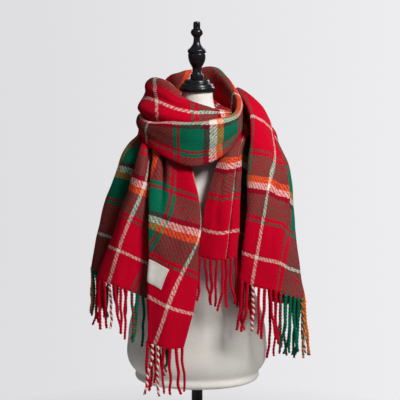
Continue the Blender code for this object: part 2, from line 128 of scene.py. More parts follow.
# u at each fold at a turn.
LOOP_PLACES = np.array((0, 1, 2, 3, 4, 5, 6, 7, 7.5, 8, 9, 10))
LOOP_U = metres((
    (262,   20, 130, 220, 260, 310, 360, 400, 440, 470, 500, 540, 705),
    (232,   80, 150, 225, 240, 270, 300, 315, 340, 360, 375, 395, 705),
    (197,  100, 170, 240, 255, 285, 315, 325, 345, 360, 375, 390, 705),
    (155,   80, 145, 205, 220, 255, 290, 300, 320, 335, 345, 360, 705),
    (125,   40, 100, 155, 170, 210, 250, 262, 285, 300, 320, 335, 705),
    (100,   20,  84, 140, 152, 200, 245, 255, 280, 295, 310, 320, 705),
    (45,    20,  84, 144, 154, 200, 245, 255, 280, 296, 306, 316, 705),
    (20,    20,  81, 138, 148, 194, 245, 258, 287, 303, 318, 328, 705),
    (0,     20,  76, 128, 140, 190, 245, 258, 287, 303, 340, 352, 705),
    (-30,   20,  72, 124, 136, 190, 245, 257, 282, 302, 405, 420, 705),
    (-63,   20,  71, 122, 134, 190, 245, 255, 274, 301, 440, 455, 705),
    (-100,  20,  71, 122, 135, 190, 245, 255, 278, 315, 445, 460, 705),
    (-150,  15,  78, 140, 155, 210, 262, 285, 345, 390, 435, 455, 705),
    (-180,  15,  78, 150, 170, 220, 270, 300, 370, 410, 450, 470, 705),
    (-232,   0,  80, 185, 220, 270, 315, 360, 440, 485, 530, 570, 705),
), 1)

# ---- folds of the hanging ends -------------------------------------------------------------
# One row a fold: its place across the cloth, then x, y, z, u, v at the hem, low, chest and
# collar. The levels are metres along the cloth, with the loop's own section as the last.
LEFT_LEVELS = (0.0, 0.14, 0.30, 0.43, 0.52)
LEFT_FOLDS = metres((
    (0,  -188, 18, 975, 20, 0,  -174, 20, 1118, 20, 141,  -176, 22, 1266, 20, 280,
     -148, 10, 1324, 20, 388),
    (1,  -258, -58, 1002, 154, 0,  -229, -54, 1142, 160, 150,  -171, -46, 1285, 150, 313,
     -138, -22, 1328, 140, 402),
    (1.35,  -244, -80, 998, 186, 0,  -198, -70, 1137, 190, 150,  -147, -56, 1282, 192, 315,
     -135, -24, 1327, 180, 405),
    (1.5,  -228, -72, 993, 225, 0,  -178, -66, 1131, 222, 154,  -130, -54, 1278, 218, 325,
     -127, -22, 1326, 204, 408),
    (1.62,  -237, -122, 990, 262, 0,  -187, -130, 1127, 262, 158,  -138, -112, 1276, 240, 322,
     -130, -44, 1326, 225, 398),
    (2,  -198, -156, 982, 310, 0,  -164, -154, 1120, 298, 157,  -124, -131, 1268, 272, 320,
     -121, -52, 1324, 250, 402),
    (3,  -120, -134, 945, 445, 0,  -116, -129, 1088, 352, 155,  -113, -108, 1250, 305, 303,
     -111, -51, 1314, 285, 386),
    (4,  -66, -124, 915, 505, 0,  -56, -122, 1058, 420, 143,  -50, -97, 1222, 390, 309,
     -102, -58, 1310, 370, 418),
    (5,  -68, -144, 900, 525, 0,  -58, -140, 1045, 440, 145,  -52, -112, 1210, 410, 312,
     -98, -65, 1313, 390, 433),
    (6,  -108, -154, 858, 610, 0,  -107, -149, 1015, 556, 146,  -103, -130, 1182, 480, 310,
     -100, -72, 1318, 425, 460),
    (7,  -114, -170, 846, 628, 0,  -113, -164, 1008, 572, 134,  -110, -143, 1176, 503, 302,
     -101, -80, 1322, 464, 459),
    (7.35,  -103, -174, 843, 638, 0,  -96, -169, 1001, 590, 136,  -91, -149, 1171, 522, 302,
     -85, -90, 1323, 484, 465),
    (7.5,  -98, -176, 842, 643, 0,  -88, -171, 998, 598, 137,  -82, -147, 1168, 531, 302,
     -75, -60, 1323, 503, 468),
    (7.65,  -92, -178, 841, 648, 0,  -79, -173, 994, 608, 138,  -73, -152, 1165, 541, 302,
     -67, -92, 1324, 522, 472),
    (8,  -78, -180, 838, 660, 0,  -60, -176, 986, 631, 139,  -50, -154, 1158, 563, 302,
     -57, -93, 1324, 545, 478),
    (9,  -50, -172, 833, 685, 0,  -20, -170, 972, 667, 143,  8, -147, 1142, 649, 306,
     -34, -97, 1320, 628, 496),
    (10,  -31, -164, 834, 705, 0,  0, -162, 966, 697, 146,  -2, -134, 1138, 682, 306,
     -24, -87, 1316, 680, 500),
), 1)
# The same from the right shoulder down: shoulder, collar, chest, low and hem. Here the loop's
# own section is the first level.
RIGHT_LEVELS = (1.290, 1.375, 1.465, 1.580, 1.720, 1.857)
RIGHT_FOLDS = metres((
    (0,  172, 98, 1276, 0, 1740,  174, 70, 1262, 0, 1800,  168, 30, 1226, 0, 1870,
     168, -28, 1060, 0, 2051,  178, -46, 915, 0, 2197),
    (1,  190, 84, 1302, 80, 1745,  206, 58, 1270, 80, 1808,  218, 30, 1222, 80, 1870,
     220, -22, 1050, 80, 2050,  236, -36, 905, 80, 2197),
    (2,  192, 58, 1340, 205, 1743,  205, 18, 1302, 195, 1800,  231, -22, 1226, 175, 1890,
     241, -76, 1068, 186, 2057,  262, -90, 930, 145, 2197),
    (2.4,  184, 50, 1352, 220, 1738,  192, 4, 1314, 210, 1802,  222, -44, 1226, 203, 1900,
     229, -98, 1075, 198, 2060,  237, -121, 941, 165, 2197),
    (2.5,  181, 46, 1360, 235, 1736,  184, 0, 1317, 232, 1803,  211, -48, 1225, 228, 1905,
     222, -107, 1078, 204, 2061,  225, -130, 947, 178, 2197),
    (2.62,  180, 42, 1366, 280, 1732,  190, -12, 1322, 272, 1804,  217.5, -73, 1223, 260, 1922,
     216, -119, 1082, 210, 2062,  212, -138, 952, 190, 2197),
    (3,  174, 32, 1376, 302, 1729,  184, -26, 1328, 300, 1804,  202, -86, 1222, 277, 1927,
     203, -132, 1094, 222, 2064,  190, -146, 962, 210, 2197),
    (4,  150, 10, 1408, 345, 1716,  164, -56, 1342, 345, 1810,  172, -116, 1234, 302, 1934,
     150, -150, 1114, 303, 2061,  130, -160, 980, 300, 2197),
    (5,  100, 48, 1440, 400, 1699,  127.5, -54, 1376, 400, 1781,  121, -118, 1258, 398, 1915,
     117, -144, 1130, 340, 2052,  101, -152, 992, 332, 2197),
    (6,  117, 14, 1402, 450, 1769,  137, -40, 1342, 450, 1851,  146, -60, 1272, 440, 1927,
     150, -79, 1134, 420, 2068,  140, -92, 1006, 420, 2197),
    (7,  119, 22, 1376, 540, 1804,  129, -34, 1338, 540, 1872,  108, -72, 1280, 540, 1942,
     101, -103, 1150, 540, 2076,  103, -100, 1030, 540, 2197),
    (8,  124, 26, 1364, 620, 1796,  122, -34, 1334, 622, 1863,  103, -104, 1288, 630, 1931,
     98, -136, 1160, 622, 2074,  90, -141, 1044, 620, 2197),
    (8.42,  124.7, 27.7, 1360, 636, 1787,  119.5, -34.3, 1333, 636, 1855,
     100.8, -105.8, 1288, 636, 1929,  83.8, -141.5, 1160, 636, 2072,  71.4, -149, 1043, 636, 2197),
    (8.5,  125, 28, 1359, 641, 1785,  119, -34, 1332.5, 641, 1853,  98.5, -102.5, 1288, 641, 1928,
     80.8, -136.5, 1160, 641, 2071,  68.4, -144, 1042.5, 641, 2197),
    (8.58,  125.2, 28.5, 1358, 646, 1783,  118, -35, 1332, 646, 1851,
     96.3, -108.5, 1288, 646, 1927,  77.8, -143, 1160, 646, 2071,  65.4, -151.2, 1042, 646, 2197),
    (9,  126, 30, 1354, 660, 1775,  115, -35, 1331, 660, 1844,  82, -116, 1288, 662, 1923,
     54, -150, 1160, 662, 2069,  46, -158, 1040, 662, 2197),
    (10,  128, 34, 1345, 705, 1778,  108, -37, 1328, 705, 1854,  60, -102, 1288, 705, 1926,
     20, -138, 1165, 705, 2071,  3, -146, 1048, 705, 2197),
), 1)

# Rows in each span of the strip, and columns between neighbouring folds.
LEFT_SPANS = (21, 24, 20, 14)
BACK_UNDER_ROWS = 34
FRONT_ROWS = 72
BACK_OVER_ROWS = 48
RIGHT_SPANS = (13, 12, 18, 22, 20)
FOLD_COLUMNS = (10, 24, 26, 12, 8, 12, 8, 16, 18, 14)
LEFT_TURN = 262.0
SIDE_TURN = 100.0
RIGHT_TURN = -232.0

# Creases listed one by one in cloth coordinates: from u, v to u, v, half width, height (+ is a
# ridge).
CREASES = metres((
    (640, 60, 600, 330, 14, 3), (565, 40, 545, 250, 10, -2.5), (350, 10, 325, 200, 12, -3.5),
    (300, 20, 275, 260, 12, 3), (350, 1900, 325, 2160, 13, 3.5), (280, 1920, 262, 2120, 12, -3),
    (240, 2020, 235, 2180, 11, 3), (672, 1960, 668, 2150, 10, -3.5), (655, 1980, 652, 2180, 7, 2.5),
    (355, 1180, 335, 1010, 12, 3.5), (330, 1170, 318, 1040, 9, -3), (60, 1150, 45, 990, 12, -2.5),
    (90, 1080, 80, 900, 14, 2.5), (50, 960, 70, 860, 12, -2.5), (100, 540, 90, 700, 14, -3.5),
    (60, 600, 75, 760, 12, 3), (110, 1260, 80, 1520, 16, 4), (60, 1300, 50, 1600, 14, -4),
    (130, 1640, 120, 2000, 16, 4), (90, 1700, 100, 2100, 14, -3.5), (100, 50, 90, 350, 18, 4),
    (60, 100, 50, 380, 14, -3.5),
), 0)
UNEVEN = 0.0014             # height of the cloth's own waves

# ---- label, fringe and tartan --------------------------------------------------------------
LABEL_U = (0.562, 0.613)
LABEL_V = (0.119, 0.169)
LABEL_LIFT = 0.0004
LABEL_THICK = 0.0006
LABEL_EDGE = 0.0002
LABEL_POINTS = 31           # along each side of the label
LABEL_YARNS = 9000.0        # radians a metre
STITCH_INSET = 0.0032
STITCH_HALF = 0.0005
STITCH_WAVE = 2100.0        # radians a metre
# Piece, node it stands for, seed and how much longer its tassels are at the outer edge.
FRINGES = (("left_tassels", "left_fringe", 3, 1.0), ("right_tassels", "right_fringe", 8, 1.18))
TASSEL_SIDES = 6
TASSEL_TAPER = 0.22         # share of its thickness that a ply loses on the way down
TASSEL_END = 0.75           # thickness of a ply's two ends, as a share
PLIES_APART = 0.5           # of a ply's radius, from the tassel's middle
PLIES_CLOSE = 0.15          # share of that lost on the way down
ROOT_RISE = 0.001           # how far the roots reach up into the hem
OUTER_EDGE = (0.0, 0.18, 0.25)      # u where the longer tassels start, begin to fade and end

REPEAT = 0.34               # the stripes come again after this
WEFT_TURN = 0.392           # the weft at v has the warp's stripe at this less v
HEM_BAND = 0.0145           # one stripe along the left hem up to here
EDGE_FUZZ = 0.0046          # how far the nap frays a stripe's edge
# Where each stripe of the repeat starts, in metres, and its colour.
STRIPES = (
    (0.000, "red"), (0.041, "green"), (0.0485, "red"), (0.056, "green"), (0.108, "burgundy"),
    (0.120, "cream"), (0.136, "orange"), (0.152, "green"), (0.204, "red"), (0.2115, "green"),
    (0.219, "red"), (0.2965, "cream"), (0.3042, "red"),
)
COLOURS = ("red", "green", "burgundy", "cream", "orange")
WOOL = {"Roughness": 0.95, "Sheen Weight": 0.02, "Sheen Roughness": 0.5,
        "Sheen Tint": (1.0, 0.80, 0.78, 1.0), "Specular IOR Level": 0.03}

# ---- dress form ----------------------------------------------------------------------------
# Height, half width, front depth, back depth and squareness.
FORM_RINGS = metres((
    (690, 60, 40, 50, 2), (698, 118, 78, 92, 2.2), (730, 160, 100, 118, 2.2),
    (820, 176, 108, 124, 2.2), (900, 158, 102, 108, 2.2), (990, 122, 88, 82, 2.1),
    (1060, 130, 94, 88, 2.1), (1140, 150, 113, 96, 2.2), (1200, 160, 100, 98, 2.3),
    (1255, 170, 78, 90, 2.3), (1288, 166, 62, 80, 2.2), (1310, 148, 52, 70, 2.1),
    (1326, 122, 47, 62, 2), (1342, 92, 44, 56, 2), (1360, 65.5, 44.5, 51, 2),
    (1380, 50.5, 43.5, 48, 2), (1405, 41.5, 40, 42, 2), (1432, 38.5, 38, 39, 2),
), 0, 4)
# Rings between these heights.
FORM_HEIGHTS = (0.690, 0.698, 0.730, 1.288, 1.432)
FORM_SPANS = (5, 8, 72, 34)
NECK_TOP = FORM_HEIGHTS[-1]
NECK_LEVEL = 0.012
CAP_TILT = math.radians(7.0)
SEAM_GAP = 0.0003
POLE_RADIUS = 0.014
POLE_EDGE = 0.0005
POLE_SIDES = 48
BASE_SIDES = 128
ROUNDS = 2                  # times that a turned profile's corners are cut
TURNED_CREASE = math.radians(45)    # edges sharper than this stay crisp
FORM_CREASE = math.radians(50)
FLOOR_SIDES = 96

# Turned profiles: height and radius, from the foot up.
CAP_PROFILE = metres((
    (0, 0), (0, 38), (0.2, 40), (1.5, 43), (6, 44.5), (10.5, 44), (11.8, 42.5), (12.2, 40.8),
    (15, 40.5), (18, 38.8), (19.2, 37.2), (20, 32.5), (21.5, 31.8), (25, 31.2), (27.8, 29.8),
    (28.8, 28), (29, 25), (29, 0),
), 0)
FINIAL_PROFILE = metres((
    (0, 0), (0, 16), (0.4, 16.5), (6, 16.5), (11.2, 16.2), (12.8, 15.4), (14.5, 12.2), (16.5, 11.2),
    (21, 11), (26.8, 11), (29, 11.8), (34, 14.5), (40, 18), (46, 20), (52, 21.2), (59, 21.7),
    (61.8, 21.5), (62.8, 20.6), (63.6, 20.6), (64.6, 22.2), (67.2, 22.9), (70, 22.8), (72.2, 21.8),
    (74.5, 18.5), (78, 15), (83, 11.5), (88, 9), (95, 8.1), (101, 8.2), (104, 9.8), (107, 13),
    (110, 14.7), (113, 15.1), (116, 14.6), (119, 12.8), (121, 9.8), (122.2, 8.8), (128, 8.9),
    (134.5, 8.8), (137.2, 8), (138.5, 6.2), (138.8, 3), (138.8, 0),
), 0)
BASE_PROFILE = metres((
    (0, 0), (0, 182), (0.4, 184.6), (3, 185), (5.5, 184.8), (8.5, 182), (11, 176), (12.5, 160),
    (15, 110), (17.5, 60), (19.5, 38), (21.5, 31), (22, 28), (22, 0),
), 0)

# ---- camera and lights ---------------------------------------------------------------------
FRAME_PIXELS = 400
FOCAL_PIXELS = 762
SENSOR = 36.0
CAMERA_PLACE = (0.0075, -1.90, 1.382)
CAMERA_DOWN = math.radians(6.6)
# Light, where it is, what it faces and its size.
LIGHTS = (
    ("key", (1.6, -1.8, 3.2), (0.0, -0.1, 1.2), 1.0),
    ("fill", (-2.2, -2.2, 1.6), (0.0, -0.1, 1.2), 2.0),
    ("rear", (1.5, 2.4, 2.4), (0.0, 0.0, 1.2), 1.6),
)


# ---- curves --------------------------------------------------------------------------------
def curve_at(knots, values, places):
    """Rows of the smooth curve through rows of values, at each of the places."""
    knots = np.asarray(knots, float)
    gaps = np.diff(knots)[:, None]
    steps = np.diff(values, axis=0) / gaps
    inner = (steps[:-1] * gaps[1:] + steps[1:] * gaps[:-1]) / (gaps[:-1] + gaps[1:])
    tangents = np.vstack([steps[:1], inner, steps[-1:]])
    places = np.asarray(places, float)
    k = np.clip(np.searchsorted(knots, places) - 1, 0, len(knots) - 2)
    span = (knots[k + 1] - knots[k])[:, None]
    t = (places - knots[k])[:, None] / span
    return (values[k] * (2 * t**3 - 3 * t**2 + 1) + tangents[k] * (span * (t**3 - 2 * t**2 + t))
            + values[k + 1] * (3 * t**2 - 2 * t**3) + tangents[k + 1] * (span * (t**3 - t**2)))


def soft_step(low, high, value):
    t = np.clip((value - low) / (high - low), 0.0, 1.0)
    return t * t * (3 - 2 * t)


def at_turn(table, turn):
    """Each column after the first at a turn, which falls down the first column."""
    return np.array([np.interp(-turn, -table[:, 0], column) for column in table[:, 1:].T])


def along_line(points):
    """How far each point of a line is from its start."""
    steps = np.linalg.norm(np.diff(points[:, :3], axis=0), axis=1)
    return np.concatenate([[0.0], np.cumsum(steps)])


def places_between(levels, counts):
    """Levels with count even steps between each and the next."""
    places = [float(levels[0])]
    for low, high, count in zip(levels, levels[1:], counts):
        places += [low + (high - low) * (k + 1) / count for k in range(count)]
    return places


# ---- the strip of cloth --------------------------------------------------------------------
def fold_sides(before, apex, after, drop):
    """The two points beside a fold's apex: across a sharp fold, along a flat one."""
    back = before - apex
    on = after - apex
    near_back = min(1.0, np.linalg.norm(back) / FOLD_REACH)
    near_on = min(1.0, np.linalg.norm(on) / FOLD_REACH)
    back = back / np.linalg.norm(back)
    on = on / np.linalg.norm(on)
    over = (on - back) / np.linalg.norm(on - back) * FOLD_HALF
    return apex + (back * drop - over) * near_back, apex + (on * drop + over) * near_on


def loop_folds(turns):
    """x, y, z, u, v of the folds of the neck loop at each turn."""
    shapes = curve_at(-LOOP_ROWS[:, 0], LOOP_ROWS[:, 1:], -np.asarray(turns))
    rows = []
    for turn, shape in zip(turns, shapes):
        hem, brim, tuck, crest, lining = shape.reshape(5, 2)
        rise = max(0.0, min(1.0, (crest[1] - tuck[1]) / COWL_RISE))
        belly = (tuck + crest) / 2 + BELLY_WAY * (COWL_BELLY * rise)
        upper = (belly + crest) / 2
        roll = at_turn(ROLL_ROWS, turn)
        radius, height = np.array([
            hem,
            (hem + brim) / 2 + np.array([BAND_BELLY, 0.0]),
            *fold_sides(hem, brim, tuck, FOLD_DROP),
            (brim + tuck) / 2,
            *fold_sides(brim, tuck, crest, FOLD_DROP / 2),
            belly + (roll[0:2] - belly) * roll[4],
            upper + (roll[2:4] - upper) * roll[4],
            *fold_sides(tuck, crest, lining, FOLD_DROP),
            lining,
        ]).T
        band, roll_v, crest_v = at_turn(LOOP_V, turn)
        v = band + (roll_v - band) * ROLL_SHARE + (crest_v - band) * CREST_SHARE
        angle = math.radians(turn)
        rows.append(np.column_stack([
            radius * math.sin(angle), -radius * math.cos(angle), height, at_turn(LOOP_U, turn), v]))
    return np.array(rows)


def across(folds, columns, places):
    """x, y, z, u, v at the places along one section through its folds."""
    steps = np.maximum(np.linalg.norm(np.diff(folds[:, :3], axis=0), axis=1), 0.001)
    knots = np.concatenate([[0.0], np.cumsum(steps)])
    at = np.interp(places, columns, knots)
    return np.column_stack([curve_at(knots, folds[:, :3], at),
                            np.interp(at, knots, folds[:, 3]), np.interp(at, knots, folds[:, 4])])


def end_rows(levels, table, turn, upward, wanted, places):
    """Sections of a hanging end at the wanted levels, joined to the loop's section at the turn.
    That section comes last where the levels run upward, and first where they run down."""
    columns = table[:, 0]
    folds = table[:, 1:].reshape(len(table), -1, 5).transpose(1, 0, 2)
    joined = across(loop_folds([turn])[0], LOOP_PLACES, columns)[None]
    folds = np.concatenate([folds, joined] if upward else [joined, folds])
    rows = curve_at(levels, folds.reshape(len(levels), -1), wanted)
    return [across(row.reshape(-1, 5), columns, places) for row in rows]


def left_rows(wanted, places):
    return end_rows(LEFT_LEVELS, LEFT_FOLDS, LEFT_TURN, True, wanted, places)


def right_rows(wanted, places):
    return end_rows(RIGHT_LEVELS, RIGHT_FOLDS, RIGHT_TURN, False, wanted, places)


def loop_rows(start, end, count, places):
    """Sections of the neck loop after the start turn and up to the end turn."""
    turns = np.linspace(start, end, count + 1)[1:]
    return [across(row, LOOP_PLACES, places) for row in loop_folds(turns)]


def fold_places():
    """Each column's place as a fold count from 0 to 10."""
    return np.array(places_between(range(len(FOLD_COLUMNS) + 1), FOLD_COLUMNS))


def grid_normals(points):
    """Unit normals of a grid of points, rows along the cloth and columns across it."""
    along, over = np.gradient(points, axis=(0, 1))
    normals = np.cross(over, along)
    return normals / np.maximum(np.linalg.norm(normals, axis=2, keepdims=True), 1e-9)


def crease_heights(u, v, depth):
    """Height of the listed creases and the cloth's own unevenness at u, v."""
    heights = np.zeros_like(u)
    for u0, v0, u1, v1, wide, high in CREASES:
        run = np.array([u1 - u0, v1 - v0])
        length = np.hypot(*run)
        share = ((u - u0) * run[0] + (v - v0) * run[1]) / length**2
        near = np.clip(share, 0.0, 1.0)
        away = np.hypot(u - u0 - near * run[0], v - v0 - near * run[1])
        fade = soft_step(-0.02, 0.25, share) * soft_step(1.02, 0.75, share)
        heights += high * fade * np.exp(-(away / wide) ** 2)
    uneven = (np.sin(u * 47 + 1.3 * np.sin(v * 19)) * np.sin(v * 31 + 0.7)
              + 0.6 * np.sin(u * 83 + 2.1 * np.sin(v * 23 + 1.0)) * np.sin(v * 57 + u * 13))
    return (heights + UNEVEN * uneven) * depth


def cloth_grid(depth):
    """Points and u, v of the whole strip from the left hem to the right one, with its creases."""
    places = fold_places()
    strip = np.array(
        left_rows(places_between(LEFT_LEVELS, LEFT_SPANS), places)
        + loop_rows(LEFT_TURN, SIDE_TURN, BACK_UNDER_ROWS, places)
        + loop_rows(SIDE_TURN, -SIDE_TURN, FRONT_ROWS, places)
        + loop_rows(-SIDE_TURN, RIGHT_TURN, BACK_OVER_ROWS, places)
        + right_rows(places_between(RIGHT_LEVELS, RIGHT_SPANS)[1:], places))
    points, u, v = strip[:, :, :3], strip[:, :, 3], strip[:, :, 4]
    points = points + grid_normals(points) * crease_heights(u, v, depth)[:, :, None]
    return points, u, v


def on_cloth(grid, targets):
    """Points of the cloth, and its normals there, at each of the target u, v."""
    points, u, v = grid
    normals = grid_normals(points)
    place = np.stack([u, v], axis=2)
    along, over = np.gradient(place, axis=(0, 1))
    rise, run = np.gradient(points, axis=(0, 1))
    found = []
    for target in targets:
        nearest = np.argmin(((place - target) ** 2).sum(axis=2))
        at = np.unravel_index(nearest, u.shape)
        step = np.linalg.solve(np.column_stack([over[at], along[at]]), target - place[at])
        found.append((points[at] + run[at] * step[0] + rise[at] * step[1], normals[at]))
    return np.array(found).transpose(1, 0, 2)


def mesh_object(name, points, faces, uvs=None, smooth=True):
    """New mesh object at the origin, with an optional u, v for each point as its UV map."""
    mesh = bpy.data.meshes.new(name)
    mesh.from_pydata([tuple(p) for p in points], [], faces)
    mesh.update()
    if uvs is not None:
        layer = mesh.uv_layers.new(name="cloth")
        index = np.empty(len(mesh.loops), dtype=np.int32)
        mesh.loops.foreach_get("vertex_index", index)
        layer.data.foreach_set("uv", np.asarray(uvs, np.float32)[index].ravel())
    if smooth:
        mesh.shade_smooth()
    obj = bpy.data.objects.new(name, mesh)
    bpy.context.scene.collection.objects.link(obj)
    return obj


def cloth_shell(name, points, u, v, outer, inner, edge):
    """Closed soft-edged shell round a grid, between two offsets along its normals."""
    rows, cols = u.shape
    normals = grid_normals(points)
    uv = np.stack([u, v], axis=2).reshape(-1, 2)
    sides = [(points + normals * offset).reshape(-1, 3) for offset in (outer, inner)]
    back = rows * cols
    faces = []
    for j in range(rows - 1):
        a = np.arange(cols - 1) + j * cols
        quads = np.column_stack([a, a + 1, a + 1 + cols, a + cols])
        faces += quads.tolist()
        faces += (quads[:, ::-1] + back).tolist()
    index = np.arange(back).reshape(rows, cols)
    rim = np.concatenate([index[0], index[1:, -1], index[-1, -2::-1], index[-2:0:-1, 0]])
    flat = points.reshape(-1, 3)
    standing = normals.reshape(-1, 3)[rim]
    middle = flat[rim] + standing * (outer + inner) / 2
    run = np.roll(flat[rim], -1, axis=0) - np.roll(flat[rim], 1, axis=0)
    out = np.cross(run, standing)
    out /= np.maximum(np.linalg.norm(out, axis=1, keepdims=True), 1e-9)
    start, count = 2 * back, len(rim)
    for k in range(count):
        m = (k + 1) % count
        a, b = int(rim[k]), int(rim[m])
        faces.append((b, a, start + k, start + m))
        faces.append((start + m, start + k, back + a, back + b))
    return mesh_object(name, np.vstack(sides + [middle + out * edge]), faces,
                       np.vstack([uv, uv, uv[rim]]))


# ---- node helpers --------------------------------------------------------------------------
class Wire:
    """A node's output. Sums and products of it add Math nodes to its tree."""

    def __init__(self, nodes, socket):
        self.nodes = nodes
        self.socket = socket

    def __add__(self, other):
        return self.nodes.maths("ADD", self, other)

    def __sub__(self, other):
        return self.nodes.maths("SUBTRACT", self, other)

    def __rsub__(self, other):
        return self.nodes.maths("SUBTRACT", other, self)

    def __mul__(self, other):
        return self.nodes.maths("MULTIPLY", self, other)

    def __truediv__(self, other):
        return self.nodes.maths("DIVIDE", self, other)

    def __abs__(self):
        return self.nodes.maths("ABSOLUTE", self)


class Nodes:
    """Short way to add and join the nodes of one tree."""

    def __init__(self, tree):
        self.tree = tree
        self.column = 0

    def node(self, kind, inputs=None, **settings):
        node = self.tree.nodes.new(kind)
        node.location = (self.column * 180, -(self.column % 4) * 160)
        self.column += 1
        for key, value in settings.items():
            setattr(node, key, value)
        for key, value in (inputs or {}).items():
            self.feed(node.inputs[key], value)
        return node

    def add(self, kind, inputs=None, output=0, **settings):
        """New node; gives the wire from one of its outputs."""
        return Wire(self, self.node(kind, inputs, **settings).outputs[output])

    def feed(self, socket, value):
        if isinstance(value, Wire):
            self.tree.links.new(value.socket, socket)
        else:
            socket.default_value = value

    def maths(self, operation, *values):
        return self.add("ShaderNodeMath", dict(enumerate(values)), operation=operation)

    def vector(self, operation, *values):
        return self.add("ShaderNodeVectorMath", dict(enumerate(values)), operation=operation)

    def scaled(self, vector, scale):
        return self.add("ShaderNodeVectorMath", {0: vector, "Scale": scale}, operation="SCALE")

    def parts(self, vector):
        """The X, Y and Z of a vector."""
        node = self.node("ShaderNodeSeparateXYZ", {"Vector": vector})
        return [Wire(self, socket) for socket in node.outputs]

    def mix(self, factor, a, b, blend="MIX"):
        return self.add("ShaderNodeMix", {0: factor, 6: a, 7: b}, 2,
                        data_type="RGBA", blend_type=blend)

    def ramp(self, factor, stops, interpolation="LINEAR"):
        node = self.node("ShaderNodeValToRGB", {"Fac": factor})
        node.color_ramp.interpolation = interpolation
        while len(node.color_ramp.elements) < len(stops):
            node.color_ramp.elements.new(1.0)
        for element, (place, colour) in zip(node.color_ramp.elements, stops):
            element.position = place
            element.color = (*colour, 1.0)
        return Wire(self, node.outputs[0])

    def span(self, value, low, high, new_low=0.0, new_high=1.0):
        return self.add("ShaderNodeMapRange", {
            "Value": value, "From Min": low, "From Max": high,
            "To Min": new_low, "To Max": new_high})

    def noise(self, vector, scale, detail=2.0, roughness=0.5, output="Fac"):
        return self.add("ShaderNodeTexNoise", {
            "Vector": vector, "Scale": scale, "Detail": detail, "Roughness": roughness}, output)

    def bump(self, shader, height, strength, distance):
        self.feed(shader["Normal"], self.add("ShaderNodeBump", {
            "Strength": strength, "Distance": distance, "Height": height}))

    def group(self, name, inputs):
        """Uses a shader node group; gives its outputs by name."""
        node = self.node("ShaderNodeGroup", inputs, node_tree=bpy.data.node_groups[name])
        return {socket.name: Wire(self, socket) for socket in node.outputs}


def group_tree(name, inputs, outputs, kind="ShaderNodeTree"):
    """New node group with named sockets; gives its helper, input wires and outputs."""
    tree = bpy.data.node_groups.new(name, kind)
    for label, holds, default in inputs:
        socket = tree.interface.new_socket(label, in_out="INPUT", socket_type="NodeSocket" + holds)
        if default is not None:
            socket.default_value = default
    for label, holds in outputs:
        tree.interface.new_socket(label, in_out="OUTPUT", socket_type="NodeSocket" + holds)
    nodes = Nodes(tree)
    given = {socket.name: Wire(nodes, socket) for socket in nodes.node("NodeGroupInput").outputs}
    return nodes, given, nodes.node("NodeGroupOutput").inputs


def principled(name, constants):
    """New material; gives its node helper and its Principled node's inputs."""
    mat = bpy.data.materials.new(name)
    mat.use_nodes = True
    shader = mat.node_tree.nodes["Principled BSDF"]
    for key, value in constants.items():
        shader.inputs[key].default_value = value
    return Nodes(mat.node_tree), shader.inputs


# ---- shader groups -------------------------------------------------------------------------
def tartan_stripes_group(colours):
    """Stripe colour of the tartan's repeat at a place across or along the cloth."""
    nodes, given, result = group_tree(
        "Tartan stripes", [("Place", "Float", 0.0)], [("Color", "Color")])
    share = nodes.maths("FRACT", given["Place"] / REPEAT)
    stops = [(start / REPEAT, colours[name]) for start, name in STRIPES]
    nodes.feed(result["Color"], nodes.ramp(share, stops, "CONSTANT"))


def twill_group():
    """Two over, two under twill: which yarn is on top, and how high the cloth stands."""
    nodes, given, result = group_tree(
        "Brushed twill",
        [("Cloth", "Vector", None), ("Rib pitch", "Float", 0.008), ("Softness", "Float", 0.18),
         ("Warp lead", "Float", 0.0)],
        [("Warp on top", "Float"), ("Height", "Float"), ("Nap", "Float")])
    cloth, pitch, softness = given["Cloth"], given["Rib pitch"], given["Softness"]
    u, v, _ = nodes.parts(cloth)
    wobble = nodes.span(nodes.noise(cloth, 240.0), 0.3, 0.7, -0.32, 0.32)
    share = nodes.maths("FRACT", (u + v) / pitch + wobble)
    wave = abs(share - 0.5) * 2.0
    led = wave + given["Warp lead"]
    nodes.feed(result["Warp on top"], nodes.span(led, 0.5 - softness, softness + 0.5))
    yarn = pitch * 0.25
    warp, weft = (nodes.maths("SINE", place / yarn * 6.2832) for place in (u, v))
    nap = nodes.noise(cloth, 900.0, 3.0, 0.65)
    nodes.feed(result["Height"], abs(wave - 0.5) * 0.9 + (warp + weft) * 0.10 + nap * 1.1)
    nodes.feed(result["Nap"], nap)


